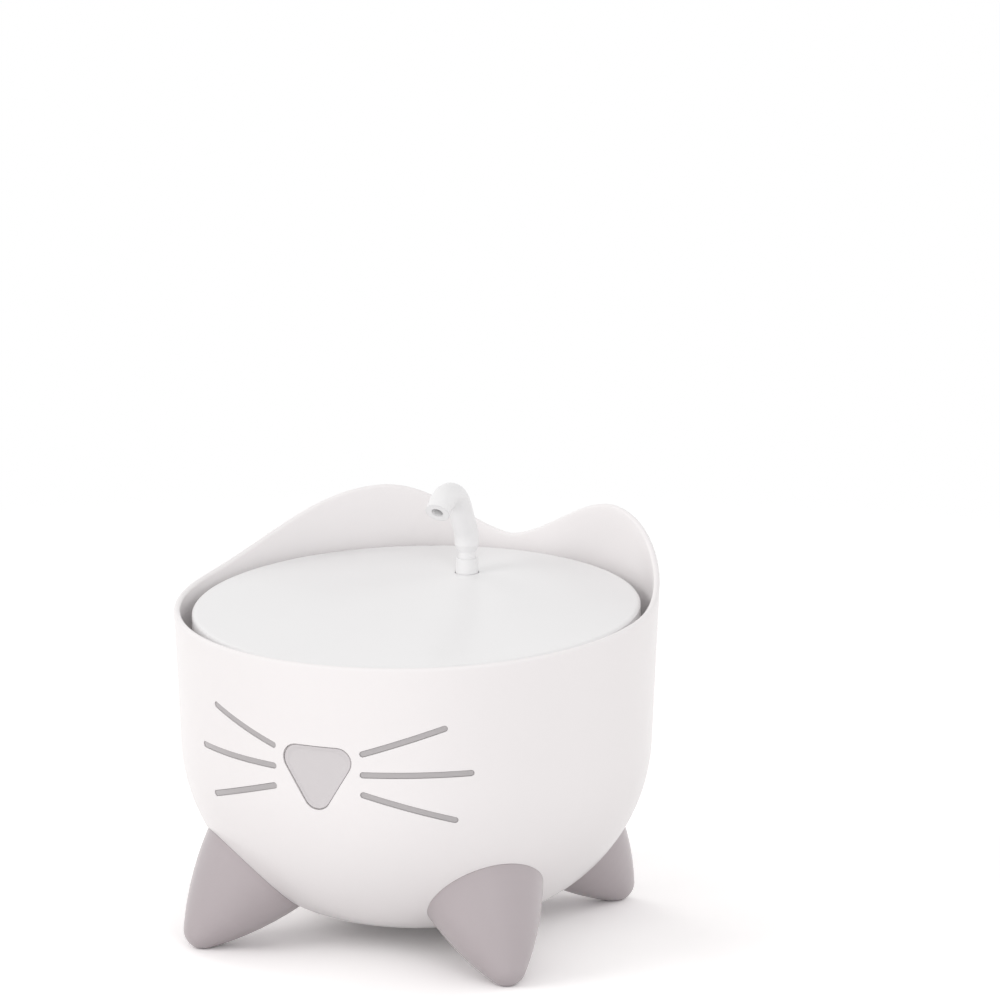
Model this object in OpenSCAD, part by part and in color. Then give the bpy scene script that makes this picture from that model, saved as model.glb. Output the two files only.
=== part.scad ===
// Cat-faced pet water fountain: reservoir with ears and feet, submerged pump,
// filter tray, four-chamber filter, sloping drinking lid and swivelling spout.
// Millimetres, +Z up, the nose faces -Y, origin on the floor under the bowl.

/* [Reservoir] */
// Outer radius of the rim at its front
rim_r = 115.4; // [95:0.2:140]
// Height of the rim at its front
rim_front_z = 155; // [144:0.5:190]
// Rise of the rim from the front to the saddle between the ears
rim_rise = 16; // [8:0.5:24]
// Height of each ear above the rising rim
ear_rise = 24; // [14:0.5:32]
// Angle of each ear tip from the middle of the back
ear_angle = 33; // [24:0.5:40]
// Radius of the round belly between wall and bottom
belly_r = 88; // [72:0.5:96]
// Outward lean of the wall in degrees
wall_lean = 2.5; // [1:0.1:5]
// Thickness of the bowl's wall
bowl_wall = 3; // [2.6:0.1:4]
// Gap between the floor and the underside of the bowl
bottom_z = 9.5; // [6:0.5:14]
// Depth of the tray's ledge below the front of the rim
ledge_drop = 16.6; // [13:0.2:22]
// Width of the ledge inside the wall
ledge_w = 8.7; // [7:0.1:11]
// Thickness of the ledge at its inner edge
ledge_t = 2.5; // [2:0.1:4]
// Width of each rib under the ledge
rib_w = 6; // [4:0.5:9]
// Height of each rib under the ledge
rib_h = 38; // [24:1:48]

/* [Feet] */
// Angle of the front feet from the nose
foot_front_angle = 47; // [38:0.5:56]
// Angle of the rear feet from the middle of the back
foot_back_angle = 40; // [32:0.5:50]
// Distance of a foot's tip inside the rim's radius
foot_inset = 7.9; // [0:0.1:16]
// Radius of a foot's rounded tip
foot_tip_r = 9.5; // [7:0.1:12]
// Depth that the flat under each tip is cut
foot_flat = 0.8; // [0.4:0.1:1.6]
// Spread of a foot's side from its axis, next to the tip
foot_spread = 35; // [30:0.5:40]
// Lean of a foot's axis from the vertical
foot_lean = 42.4; // [36:0.1:50]
// Radius of the gentle curve along a foot's side
foot_side_r = 150; // [110:1:400]
// Length of a foot from the middle of its tip
foot_len = 44; // [40:0.5:52]

/* [Face] */
// Height of the middle of the nose
nose_z = 100.5; // [90:0.5:112]
// Width of the nose
nose_w = 35; // [28:0.5:42]
// Height of the nose
nose_h = 31; // [25:0.5:37]
// Radius of the nose's corners
nose_corner_r = 7; // [5:0.1:9]
// Depth of the nose pocket in the wall
nose_pocket = 2.1; // [1.6:0.1:2.2]
// Thickness of the nose window
nose_t = 1; // [0.6:0.1:1.2]
// Width of a whisker
whisker_w = 3; // [2:0.1:4]
// Depth of a whisker's groove
whisker_groove = 1.1; // [0.8:0.1:1.5]
// Thickness of a whisker strip
whisker_t = 0.7; // [0.4:0.1:0.8]
// Distance of the whiskers from the middle of the nose
whisker_start = 21.5; // [19:0.5:26]
// Lengths of the upper, middle and lower whiskers
whisker_len = [43, 53, 47]; // [30:0.5:60]
// Upward tilts of the upper, middle and lower whiskers in degrees
whisker_tilt = [18.5, 1, -15.8]; // [-30:0.1:30]
// Heights of the whiskers' inner ends above the middle of the nose
whisker_rise = [12.8, 3.2, -6]; // [-12:0.1:16]

/* [Filter] */
// Side of the square filter
filter_side = 88; // [74:0.2:106]
// Corner radius of the filter
filter_corner_r = 8; // [6:0.5:12]
// Thickness of the filter cup's flange
filter_flange_t = 0.8; // [0.6:0.1:1.2]
// Thickness of the soft film on the filter
film_t = 0.5; // [0.4:0.1:0.8]
// Depth of the filter's four pods
pod_depth = 9.5; // [7:0.5:12]
// Gap between two pods
pod_gap = 5; // [4:0.5:7]
// Corner radius of a pod
pod_corner_r = 8; // [6:0.5:10]
// Border of the flange outside the pods
pod_border = 3.5; // [2.5:0.5:6]
// Wall of the filter cup
cup_wall = 0.8; // [0.6:0.1:1.2]
// Radius of the hole in the middle of the filter
filter_hole_r = 8.8; // [6:0.1:10]

/* [Tray] */
// Gap between the tray and the bowl's wall
tray_side_gap = 3.9; // [2.5:0.1:5]
// Height of the tray's edge
tray_edge_h = 7.8; // [6:0.1:10]
// Thickness of the tray's deck
deck_t = 3; // [2.4:0.1:3.6]
// Thickness of the tray's skirt
tray_skirt_t = 2.5; // [2:0.1:3]
// Width of the flat lip round the dished part
dish_lip = 3.3; // [2.5:0.1:5]
// Radius of the dished part
dish_r = 82; // [74:0.5:92]
// Depth of the dished part
dish_depth = 7; // [5:0.5:8]
// Radius of the dished part's floor
dish_floor_r = 45; // [38:0.5:52]
// Distance of the dish's centre behind the filter's centre
dish_offset = 8; // [4:0.5:12]
// Gap between the filter well's front corners and the ledge
well_corner_gap = 0.9; // [0.5:0.1:4]
// Wall of the filter well
well_wall = 2; // [1.6:0.1:2.6]
// Depth of the filter's shelf under the deck
shelf_depth = 12.3; // [10:0.1:14]
// Radius of the two fill holes in the deck
fill_hole_r = 11.3; // [9:0.1:13]
// Distance of a fill hole's centre inside the tray's edge
fill_hole_inset = 30.5; // [24:0.5:34]
// Angle of the fill holes from the tray's middle line
fill_hole_angle = 35; // [30:0.5:42]
// Width of a drain slot in the well's floor
drain_w = 4; // [3:0.5:5]
// Number of drain slots under each pod
drain_count = 3; // [2:1:4]
// Width of the finger notch beside the well
notch_w = 15; // [12:0.5:18]
// Reach of the finger notch beside the well
notch_reach = 9; // [6:0.5:11]

/* [Flow cap] */
// Distance of the spout's axis inside the tray's edge
spout_inset = 47.8; // [44:0.1:52]
// Radius of the flow cap
cap_r = 19.8; // [17:0.1:22]
// Height of the flow cap at its axis
cap_h = 10; // [9:0.1:11]
// Slope of the flow cap's top in degrees
cap_slope = 9.5; // [6:0.5:12]
// Wall of the flow cap
cap_wall = 1.8; // [1.4:0.1:2.2]
// Rounding of the flow cap's shoulder
cap_round = 4; // [2:0.1:5]
// Width of the flow cap's outflow window
window_w = 26; // [18:0.5:30]
// Height of the flow cap's outflow window
window_h = 4.6; // [3:0.1:5]
// Radius of the nipple's neck
nipple_neck_r = 2.9; // [2.6:0.1:3.4]
// Radius of the nipple's head
nipple_head_r = 4.7; // [4.2:0.02:5.7]
// Height of the nipple above the flow cap
nipple_h = 4.8; // [4:0.1:6]
// Radius of the passage through the nipple
nipple_bore_r = 1.8; // [1.2:0.1:2]
// Outer radius of the folding ring
ring_r = 14.2; // [11:0.1:15]
// Radial thickness of the folding ring
ring_t = 3.4; // [2.6:0.1:4]
// Width of the folding ring's band
ring_w = 5; // [4:0.1:6]
// Radius of the ring's pivot pin
ring_pin_r = 1.2; // [1:0.05:1.5]

/* [Lid] */
// Radius of the lid inside the tray's radius
lid_inset = 0.8; // [0.4:0.1:2]
// Height of the lid's front edge
lid_front_h = 6.5; // [5.5:0.1:8]
// Slope of the lid's top in degrees
lid_slope = 3.15; // [2:0.05:4]
// Thickness of the lid's top
lid_t = 2.2; // [1.8:0.1:2.6]
// Thickness of the lid's skirt
lid_skirt_t = 2.3; // [1.8:0.1:3]
// Rounding of the lid's top edge
lid_round = 2.4; // [1.5:0.1:3]
// Half the angle of the drinking slot at the lid's front
slot_half_angle = 26.5; // [20:0.5:32]
// Height of the drinking slot
slot_h = 3.4; // [2.4:0.1:4]

/* [Spout] */
// Wall of the spout's collar
collar_wall = 0.75; // [0.6:0.05:1.5]
// Length of the spout's collar
collar_h = 11.8; // [10:0.1:14]
// Length of the wide lower bore in the collar
collar_socket_h = 6; // [5:0.1:7]
// Radius of the spout's neck
neck_r = 4.2; // [3.8:0.05:4.5]
// Height of the spout's neck above the collar
neck_h = 3; // [2:0.1:5]
// Radius of the spout's pipe
pipe_r = 6; // [5:0.1:7]
// Radius of the passage in the spout
pipe_bore_r = 2.9; // [2.4:0.1:3.4]
// Height of the flare from neck to pipe
flare_h = 3.5; // [2.5:0.1:5]
// Forward lean of the spout's rising pipe in degrees
spout_lean = 30; // [20:1:40]
// Angle of the spout's outlet from the vertical in degrees
spout_end_angle = 130; // [110:1:150]
// Radius of the spout's lower bend
lower_bend_r = 18; // [14:0.5:24]
// Length of the spout's straight part
spout_straight = 14; // [8:0.5:20]
// Radius of the spout's upper bend
upper_bend_r = 15; // [12:0.5:18]
// Length of the spout's outlet
spout_end_len = 4; // [2:0.5:8]

/* [Tube] */
// Wall of the clear tube
tube_wall = 1.87; // [1.2:0.01:2.4]
// Length of the clear tube
tube_len = 44.6; // [36:0.2:54]
// Length of the tube pushed over each pipe
tube_overlap = 9; // [7:0.5:11]

/* [Pump] */
// Length of the pump
pump_len = 49; // [48:0.5:60]
// Width of the pump
pump_w = 29; // [28:0.5:36]
// Height of the pump
pump_h = 30; // [29:0.5:37]
// Rounding of the pump's edges
pump_round = 3; // [2:0.1:4]
// Wall of the pump's housing
pump_wall = 2; // [1.6:0.1:2.4]
// Turn of the pump about the vertical in degrees
pump_turn = 47.8; // [30:0.1:60]
// Distance of the outlet from the pump's middle, sideways
outlet_aside = 2; // [0:0.1:3]
// Radius of the outlet pipe
outlet_r = 4.3; // [4.1:0.05:4.6]
// Height of the outlet pipe above the pump
outlet_h = 20.5; // [16:0.5:25]
// Radius of the passage in the outlet pipe
outlet_bore_r = 3; // [2.4:0.1:3.2]
// Length of the intake cover
cover_len = 8; // [7.5:0.1:9.5]
// Thickness of the pump's end plate
end_plate_t = 2.2; // [2:0.1:3]
// Width of each slot in the intake cover
intake_slot_w = 2.2; // [1.4:0.1:2.6]
// Radius of the impeller chamber
chamber_r = 11; // [10:0.1:11.5]
// Length of the impeller chamber
chamber_len = 11; // [10:0.1:12]
// Radius of the impeller's vanes
vane_r = 8.6; // [7:0.1:9]
// Number of the impeller's vanes
vane_count = 6; // [4:1:8]
// Radius of the rotor's magnet
magnet_r = 5.6; // [5:0.1:6]
// Length of the rotor's magnet
magnet_len = 12.8; // [10:0.1:13]
// Radius of the rotor's shaft
shaft_r = 1; // [0.8:0.05:1.2]
// Height of the suction cups
cup_h = 3; // [2:0.1:5]
// Radius of the suction cups
cup_r = 5; // [4:0.1:6]
// Gap between the pump's lowest corner and the bowl
pump_wall_gap = 1.2; // [0.6:0.1:3]
// Length of the pull loop
loop_len = 18.5; // [14:0.5:22]
// Height of the pull loop at the pump
loop_h = 10.6; // [8:0.2:12]
// Radius of the pull loop's bar
loop_bar_r = 1.1; // [0.9:0.05:1.4]
// Radius of the cord's gland
gland_r = 3; // [2.6:0.1:3.6]
// How far the gland's head stands out of the pump's end plate
gland_out = 4.5; // [2:0.1:6]
// Radius of the status light
led_r = 2; // [1.5:0.1:2.5]

/* [Fits] */
// Gap between a lift-off piece and its seat
seat_gap = 0.3; // [0.2:0.05:0.5]
// Radial clearance of a running fit
run_gap = 0.05; // [0.02:0.01:0.09]
// Radial clearance of a push fit over a pipe
push_gap = 0.08; // [0.05:0.01:0.2]
// Gap round an inlay in its pocket
inlay_gap = 0.15; // [0.05:0.05:0.3]
// Gap round the filter in its well
filter_gap = 1.5; // [1:0.1:2.5]
// Radial gap between the rotor and its well
rotor_gap = 0.7; // [0.4:0.1:1]
// Gap between the spout's collar and the lid's hole
lid_hole_gap = 0.4; // [0.2:0.1:1]

/* [Hidden] */

white = [0.95, 0.94, 0.94];
pad_grey = [0.66, 0.61, 0.63];
mark_grey = [0.62, 0.60, 0.61];
pump_grey = [0.82, 0.79, 0.79];
round_fn = 96;
big_fn = 180;
foot_steps = 8;
nose_steps = 12;
rib_angles = [60, 120, 162];
pipe_fn = 48;
lap = 0.5;
lap_step = 0.03;
eps = 0.01;
far = 400;

// The bowl's outline: flat bottom, round belly, leaning wall
belly_z = bottom_z + belly_r;
tangent_z = belly_z - belly_r * sin(wall_lean);
belly_x = rim_r - (rim_front_z - tangent_z) * tan(wall_lean) - belly_r * cos(wall_lean);
bowl_top = rim_front_z + rim_rise + ear_rise + 2;
function wall_x(z, inset = 0) =
    belly_x + belly_r * cos(wall_lean) + (z - tangent_z) * tan(wall_lean) - inset / cos(wall_lean);
function belly_floor(x, inset = 0) =
    belly_z - sqrt(pow(belly_r - inset, 2) - pow(max(x - belly_x, 0), 2));

// The rim climbs from front to back, and a lobed bump on each side makes an ear
ear_tip = 180 - ear_angle;
ear_start = 88;
function rim_slope(a) = rim_rise * pow((1 - cos(a)) / 2, 1.2);
function ear_bump(a) =
    a < ear_start ? 0 :
    a < ear_tip ? pow(cos(90 * (ear_tip - a) / (ear_tip - ear_start)), 2.8) :
    pow(max(cos(90 * (a - ear_tip) / ear_angle), 0), 1.6);
function rim_z(a) = let (b = abs(a > 180 ? a - 360 : a)) rim_front_z + rim_slope(b) + ear_rise * ear_bump(b);
rim_angles = concat(
    [for (i = [0 : 21]) -ear_start + i * ear_start / 11],
    [for (i = [0 : 19]) ear_start + i * (ear_tip - ear_start) / 20],
    [for (i = [0 : 21]) ear_tip + i * ear_angle / 11],
    [for (i = [0 : 19]) 360 - ear_tip + i * (ear_tip - ear_start) / 20]);

// Seats, from the ledge upwards
ledge_z = rim_front_z - ledge_drop;
ledge_x = wall_x(ledge_z, bowl_wall) - ledge_w;
tray_z = ledge_z + seat_gap;
tray_r = wall_x(ledge_z, bowl_wall) - tray_side_gap;
deck_z = tray_z + tray_edge_h;
lid_z = deck_z + seat_gap;
lid_r = tray_r - lid_inset;

// Filter and its well, set back from the tray's front edge
pod_side = (filter_side - pod_gap - 2 * pod_border) / 2;
pod_shift = (pod_side + pod_gap) / 2;
well_half = filter_side / 2 + filter_gap;
well_out = well_half + well_wall;
well_out_r = filter_corner_r + 6;
well_corner_x = well_out - well_out_r;
well_corner_y = sqrt(pow(ledge_x - well_corner_gap - well_out_r, 2) - pow(well_corner_x, 2));
well_y = well_corner_x - well_corner_y;
film_z = deck_z - shelf_depth + seat_gap;
pocket_z = film_z - pod_depth - seat_gap;
well_bottom = pocket_z - well_wall;
dish_y = well_y + dish_offset;

// Spout, flow cap, tube and pump share one vertical axis
spout_y = tray_r - spout_inset;
collar_z = deck_z + cap_h + 1.4;
collar_bore_r = nipple_head_r + run_gap;
collar_r = max(nipple_head_r, neck_r) + run_gap + collar_wall;
lid_top = lid_front_h + lid_r * tan(lid_slope);
ring_over = 2;
media_gap = 0.03;
ring_axis_z = norm([ring_w / 2, ring_over]) + 0.3;
ring_axis_y = -8;
ring_x = cap_r + ring_r + 0.6;
ring_lift = ring_r - ring_over;

// Pump interior, along its length from the end plate to the intake
plate_x = -pump_len / 2;
housing_x = plate_x + end_plate_t;
split_x = pump_len / 2 - cover_len;
chamber_x = split_x - chamber_len;
outlet_x = chamber_x + chamber_len / 2;
shaft_z = pump_h / 2;
rotor_well_r = magnet_r + rotor_gap;
rotor_well_wall = 1.3;
rotor_well_x = chamber_x - magnet_len - 1.9;
rotor_end_gap = 0.4;
bush_t = 1.2;
divider_t = 1.9;
core_x = housing_x + 3.5;
limb_t = 4;
limb_h = 6;
light_at = [5.4, 6.8];
gland_at = [2.5, 19.5];
plate_recess = 0.6 * end_plate_t;
loop_y = pump_w / 2 - 2.5;

// The outlet lies under the spout's axis, and the lowest corner clears the bowl
pump_turned = [[cos(pump_turn), -sin(pump_turn)], [sin(pump_turn), cos(pump_turn)]];
pump_at = [0, spout_y] - pump_turned * [outlet_x, -outlet_aside];
pump_corners = [for (sx = [-1, 1], sy = [-1, 1])
    norm(pump_at + pump_turned * [sx * pump_len, sy * pump_w] / 2)];
pump_z = belly_floor(max(pump_corners), bowl_wall) + pump_wall_gap;
outlet_z = pump_z + pump_h + outlet_h;
tube_r = outlet_r + push_gap + tube_wall;
tube_z = outlet_z - tube_overlap;
downpipe_z = tube_z + tube_len - tube_overlap;

// ---------------------------------------------------------------- outlines

module rounded_rect(w, h, r) {
    square([w - 2 * r, h], center = true);
    square([w, h - 2 * r], center = true);
    for (sx = [-1, 1], sy = [-1, 1])
        translate([sx * (w / 2 - r), sy * (h / 2 - r)]) circle(r, $fn = 48);
}

module slot_shape(len, w) {
    square([len - w, w], center = true);
    for (s = [-1, 1]) translate([s * (len - w) / 2, 0]) circle(w / 2, $fn = 32);
}

// A bar with round ends from one point to another
module bar_between(p, q, w) {
    d = q - p;
    translate((p + q) / 2) rotate(atan2(d[1], d[0])) slot_shape(norm(d) + w, w);
}

module bowl_outline(inset, top) {
    foot_x = belly_x + (belly_r - inset) * cos(wall_lean);
    foot_z = belly_z - (belly_r - inset) * sin(wall_lean);
    translate([0, bottom_z + inset]) square([belly_x, foot_z - bottom_z - inset]);
    intersection() {
        translate([belly_x, belly_z]) circle(belly_r - inset, $fn = big_fn);
        translate([belly_x, 0]) square([far, foot_z]);
    }
    polygon([[0, foot_z], [foot_x, foot_z], [wall_x(top, inset), top], [0, top]]);
}

module bowl_solid(inset, top) {
    rotate_extrude($fn = big_fn) bowl_outline(inset, top);
}

// A triangle with round corners, its point down
module nose_outline(grow) {
    r = nose_corner_r + grow;
    up = nose_h / 2 - nose_corner_r;
    side = nose_w / 2 - nose_corner_r;
    lean = atan(side / (2 * up));
    corners = [[-side, up], [side, up], [0, -up]];
    from = [180 + lean, 90, -lean];
    sweep = [90 + lean, 90 + lean, 180 - 2 * lean];
    polygon([for (i = [0 : 2]) for (k = [0 : nose_steps]) let (a = from[i] - k / nose_steps * sweep[i])
        corners[i] + r * [cos(a), sin(a)]]);
}

// A prism through the bowl's front wall, seen from the front
module through_wall(z) {
    translate([0, -wall_x(z) + 2 * bowl_wall, z]) rotate([90, 0, 0]) linear_extrude(4 * bowl_wall) children();
}

module wall_band(outer_inset, inner_inset) {
    rotate_extrude($fn = big_fn) difference() {
        bowl_outline(outer_inset, bowl_top);
        bowl_outline(inner_inset, bowl_top + 1);
    }
}

// One whisker as a prism; side is 1 on the right and -1 on the left
module whisker_prism(side, row, grow) {
    z = nose_z + whisker_rise[row];
    r = wall_x(z);
    len = whisker_len[row];
    tilt = whisker_tilt[row];
    turn = asin(whisker_start / r) + (len * cos(tilt) / 2) / r * 180 / PI;
    rotate([0, 0, side * turn]) through_wall(z + len * sin(tilt) / 2)
        rotate(side * tilt) slot_shape(len + 2 * grow, whisker_w + 2 * grow);
}

// ---------------------------------------------------------------- reservoir

// A ring above the rim, its underside following the rim's height all round
module rim_cutter() {
    radii = [rim_r - 4 * bowl_wall, rim_r + 4 * bowl_wall];
    n = len(rim_angles);
    top = bowl_top + 10;
    points = [for (a = rim_angles) for (z = [rim_z(a), top]) for (r = radii)
        [r * sin(a), -r * cos(a), z]];
    faces = [for (i = [0 : n - 1]) let (a = 4 * i, b = 4 * ((i + 1) % n)) each [
        [a, a + 1, b + 1], [a, b + 1, b],
        [a + 2, b + 2, b + 3, a + 3],
        [a + 1, a + 3, b + 3, b + 1],
        [a, b, b + 2, a + 2]]];
    polyhedron(points, faces);
}

module ledge_ring() {
    lx = wall_x(ledge_z, bowl_wall) + bowl_wall / 2;
    rotate_extrude($fn = big_fn) polygon([
        [ledge_x, ledge_z - ledge_t], [ledge_x, ledge_z], [lx, ledge_z], [lx, ledge_z - ledge_t - ledge_w]]);
}

module ledge_rib(angle) {
    top = ledge_z - ledge_t / 2;
    rotate([0, 0, angle]) rotate([90, 0, 0]) linear_extrude(rib_w, center = true) polygon([
        [ledge_x + 0.5, top], [ledge_x + 0.5, top - rib_h + ledge_w],
        [wall_x(top - rib_h, bowl_wall) + bowl_wall / 3, top - rib_h],
        [wall_x(top, bowl_wall) + bowl_wall / 3, top]]);
}

module pump_seat() {
    color(white) intersection() {
        at_pump() translate([0, 0, -cup_h - seat_gap - far]) linear_extrude(far)
            rounded_rect(pump_len + 4, pump_w + 4, pump_round + 2);
        bowl_solid(bowl_wall, bowl_top);
    }
}

module tray_ledge() {
    color(white) intersection() {
        ledge_ring();
        bowl_solid(bowl_wall, bowl_top);
    }
}

module ledge_ribs() {
    color(white) intersection() {
        difference() {
            for (a = rib_angles) for (s = [-1, 1]) ledge_rib(s * a - 90);
            ledge_ring();
        }
        bowl_solid(bowl_wall, bowl_top);
    }
}

module reservoir() {
    color(white) difference() {
        wall_band(0, bowl_wall);
        rim_cutter();
        difference() {
            through_wall(nose_z) nose_outline(0);
            bowl_solid(nose_pocket, bowl_top);
        }
        difference() {
            for (s = [-1, 1]) for (row = [0 : 2]) whisker_prism(s, row, 0);
            bowl_solid(whisker_groove, bowl_top);
        }
    }
}

// ---------------------------------------------------------------- feet

// Half section of a foot, tip at the bottom, its side a gentle bulge
module foot_outline() {
    low = foot_tip_r * [cos(foot_spread), -sin(foot_spread)];
    centre = (foot_tip_r - foot_side_r) * [cos(foot_spread), -sin(foot_spread)];
    end = asin((foot_len - centre[1]) / foot_side_r);
    side = [for (i = [0 : foot_steps]) let (a = i / foot_steps * (end + foot_spread) - foot_spread)
        centre + foot_side_r * [cos(a), sin(a)]];
    polygon(concat([[0, low[1]]], side, [[0, foot_len]]));
    intersection() {
        circle(foot_tip_r, $fn = round_fn);
        translate([0, -far]) square([far, 2 * far]);
    }
}

module foot(angle) {
    color(pad_grey) difference() {
        rotate([0, 0, angle]) translate([0, foot_inset - rim_r, foot_tip_r - foot_flat])
            rotate([-foot_lean, 0, 0]) rotate_extrude($fn = round_fn) foot_outline();
        bowl_solid(0, bowl_top);
        translate([-far, -far, -far]) cube([2 * far, 2 * far, far]);
    }
}

module foot_front_left() { foot(-foot_front_angle); }
module foot_front_right() { foot(foot_front_angle); }
module foot_rear_left() { foot(180 + foot_back_angle); }
module foot_rear_right() { foot(180 - foot_back_angle); }

// ---------------------------------------------------------------- face

module nose_window() {
    color(mark_grey) intersection() {
        through_wall(nose_z) nose_outline(-inlay_gap);
        wall_band(nose_pocket - nose_t, nose_pocket);
    }
}

module whisker(side, row) {
    color(mark_grey) intersection() {
        whisker_prism(side, row, -inlay_gap);
        wall_band(whisker_groove - whisker_t, whisker_groove);
    }
}

module whisker_left_upper() { whisker(-1, 0); }
module whisker_left_middle() { whisker(-1, 1); }
module whisker_left_lower() { whisker(-1, 2); }
module whisker_right_upper() { whisker(1, 0); }
module whisker_right_middle() { whisker(1, 1); }
module whisker_right_lower() { whisker(1, 2); }

// ---------------------------------------------------------------- tray

module at_pods() {
    for (sx = [-1, 1], sy = [-1, 1]) translate([sx * pod_shift, well_y + sy * pod_shift]) children();
}

module tray_body() {
    rotate_extrude($fn = big_fn) polygon([
        [0, deck_z - deck_t], [tray_r - tray_skirt_t, deck_z - deck_t], [tray_r - tray_skirt_t, tray_z],
        [tray_r, tray_z], [tray_r, deck_z - 0.8], [tray_r - 0.8, deck_z], [0, deck_z]]);
    intersection() {
        translate([0, dish_y, deck_z - dish_depth - deck_t])
            cylinder(dish_depth, dish_floor_r + 2, dish_r + 2, $fn = big_fn);
        cylinder(far, r = tray_r - tray_skirt_t / 2, $fn = big_fn);
    }
    intersection() {
        translate([0, well_y, well_bottom]) linear_extrude(deck_z - deck_t / 2 - well_bottom)
            rounded_rect(2 * well_out, 2 * well_out, well_out_r);
        cylinder(far, r = tray_r - tray_skirt_t / 2, $fn = big_fn);
    }
    translate([well_half, well_y + well_half / 3, deck_z - dish_depth - 6]) notch_block(well_wall);
    translate([0, spout_y, downpipe_z])
        cylinder(deck_z - deck_t / 2 - downpipe_z, r = outlet_r, $fn = round_fn);
    translate([0, spout_y, deck_z - deck_t - 6]) cylinder(6 + eps, outlet_r, 2 * outlet_r, $fn = round_fn);
}

module notch_block(grow) {
    translate([-notch_w / 2, -notch_w / 2 - grow, -grow])
        cube([notch_w / 2 + notch_reach + grow, notch_w + 2 * grow, dish_depth + 4 + grow]);
}

module tray() {
    color(white) difference() {
        tray_body();
        intersection() {
            translate([0, dish_y, deck_z - dish_depth])
                cylinder(dish_depth + eps, dish_floor_r, dish_r, $fn = big_fn);
            cylinder(far, r = tray_r - dish_lip, $fn = big_fn);
        }
        translate([0, well_y, deck_z - shelf_depth]) linear_extrude(far)
            rounded_rect(2 * well_half, 2 * well_half, filter_corner_r + 2);
        translate([0, 0, pocket_z]) linear_extrude(pod_depth + 1)
            at_pods() rounded_rect(pod_side + filter_gap, pod_side + filter_gap, pod_corner_r);
        translate([0, well_y, pocket_z]) cylinder(pod_depth + 1, r = filter_hole_r, $fn = round_fn);
        translate([0, 0, well_bottom - 1]) linear_extrude(well_wall + 2)
            at_pods() for (i = [0 : drain_count - 1])
                translate([0, (i - (drain_count - 1) / 2) * pod_side / drain_count])
                    slot_shape(pod_side - 2 * pod_corner_r, drain_w);
        translate([well_half, well_y + well_half / 3, deck_z - dish_depth - 6]) notch_block(0);
        for (s = [-1, 1]) rotate([0, 0, 90 + s * (90 - fill_hole_angle)])
            translate([tray_r - fill_hole_inset, 0, deck_z - 2 * deck_t])
                cylinder(3 * deck_t, r = fill_hole_r, $fn = round_fn);
        translate([0, spout_y, downpipe_z - 1]) cylinder(far, r = outlet_bore_r, $fn = round_fn);
    }
}

// ---------------------------------------------------------------- flow cap

// A block under a plane that climbs towards the back, with a rounded edge
module sloped_block(r, slope, rounding) {
    rotate([slope, 0, 0]) rotate_extrude($fn = big_fn) {
        translate([0, -2 * r]) square([r - rounding, 2 * r]);
        translate([0, -2 * r]) square([r, 2 * r - rounding]);
        translate([r - rounding, -rounding]) circle(rounding, $fn = 48);
    }
}

module under_slope(slope) {
    rotate([slope, 0, 0]) translate([-far, -far, -far]) cube([2 * far, 2 * far, far]);
}

module at_cap() {
    translate([0, spout_y, deck_z]) children();
}

module flow_cap() {
    color(white) at_cap() difference() {
        union() {
            difference() {
                intersection() {
                    cylinder(2 * cap_h, r = cap_r, $fn = big_fn);
                    translate([0, 0, cap_h]) sloped_block(cap_r + 0.5, cap_slope, cap_round);
                }
                intersection() {
                    translate([0, 0, -1]) cylinder(2 * cap_h, r = cap_r - cap_wall, $fn = big_fn);
                    translate([0, 0, cap_h - cap_wall]) under_slope(cap_slope);
                }
                translate([-window_w / 2, -cap_r - 1, -1]) cube([window_w, cap_r, window_h + 1]);
            }
            translate([0, 0, cap_h - cap_wall])
                cylinder(cap_wall + nipple_h - 1, r = nipple_neck_r, $fn = round_fn);
            translate([0, 0, cap_h + nipple_h - 2.8]) {
                cylinder(0.8, nipple_neck_r, nipple_head_r, $fn = round_fn);
                translate([0, 0, 0.8]) cylinder(1.4, r = nipple_head_r, $fn = round_fn);
                translate([0, 0, 2.2]) cylinder(0.6, nipple_head_r, nipple_head_r - 0.6, $fn = round_fn);
            }
            translate([cap_r - 3.3, ring_axis_y, ring_axis_z]) rotate([0, 90, 0])
                cylinder(8, r = ring_pin_r, $fn = round_fn);
        }
        translate([0, 0, cap_h - 4]) cylinder(far, r = nipple_bore_r, $fn = round_fn);
    }
}

// The ring stands upright when open; it is drawn folded back onto the deck
module cap_ring() {
    color(white) at_cap() translate([0, ring_axis_y, ring_axis_z]) rotate([-90, 0, 0]) difference() {
        union() {
            translate([ring_x, 0, ring_lift]) rotate([90, 0, 0]) difference() {
                cylinder(ring_w, r = ring_r, center = true, $fn = round_fn);
                cylinder(ring_w + 2, r = ring_r - ring_t, center = true, $fn = round_fn);
            }
            translate([cap_r - 0.3, 0, 0]) rotate([0, 90, 0])
                cylinder(ring_r - 5, r = ring_w / 2, $fn = round_fn);
        }
        translate([cap_r - 1, 0, 0]) rotate([0, 90, 0]) cylinder(6, r = ring_pin_r + run_gap, $fn = round_fn);
        translate([ring_x, 0, ring_lift]) rotate([90, 0, 0])
            cylinder(ring_w + 2, r = ring_r - ring_t, center = true, $fn = round_fn);
    }
}

// ---------------------------------------------------------------- filter

module pod_outline(inset) {
    difference() {
        at_pods() rounded_rect(pod_side - 2 * inset, pod_side - 2 * inset, pod_corner_r - inset);
        translate([0, well_y]) circle(filter_hole_r + cup_wall + inset, $fn = round_fn);
    }
}

module one_pod(sx, sy) {
    intersection() {
        pod_outline(cup_wall + media_gap);
        translate([sx > 0 ? 0 : -far, well_y + (sy > 0 ? 0 : -far)]) square([far, far]);
    }
}

module filter_square() {
    translate([0, well_y]) rounded_rect(filter_side, filter_side, filter_corner_r);
}

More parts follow.
